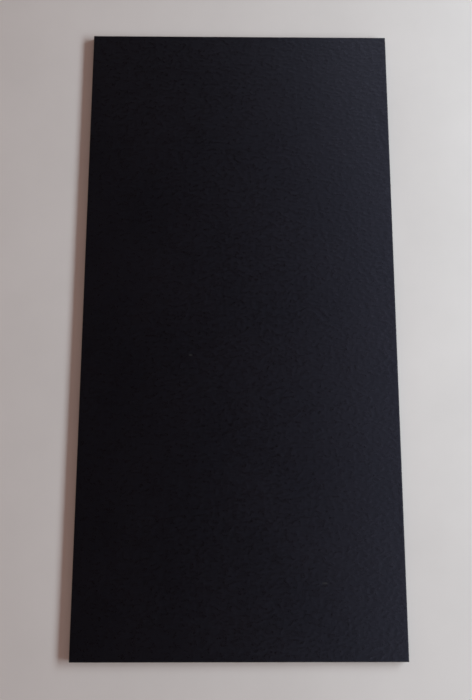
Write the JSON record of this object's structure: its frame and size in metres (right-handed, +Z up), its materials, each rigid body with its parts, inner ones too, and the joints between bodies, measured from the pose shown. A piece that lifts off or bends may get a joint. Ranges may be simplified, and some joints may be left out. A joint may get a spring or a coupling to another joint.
{
  "type": "porcelain floor tile",
  "caption": "Flat oblong plate of dark fired clay for paving a floor, with square ground sides, a fine bevel round its satin face and a shallow keying grid pressed into its back.",
  "frame": {"origin": "below the middle of the tile, on the plane that its back lies on", "axes": "+X across the width, +Y along the length, +Z up out of the face"},
  "size_m": [0.595, 1.195, 0.01],
  "materials": {
    "porcelain": "satin"
  },
  "bodies": {
    "root": {"tile": "porcelain"}
  },
  "joints": []
}
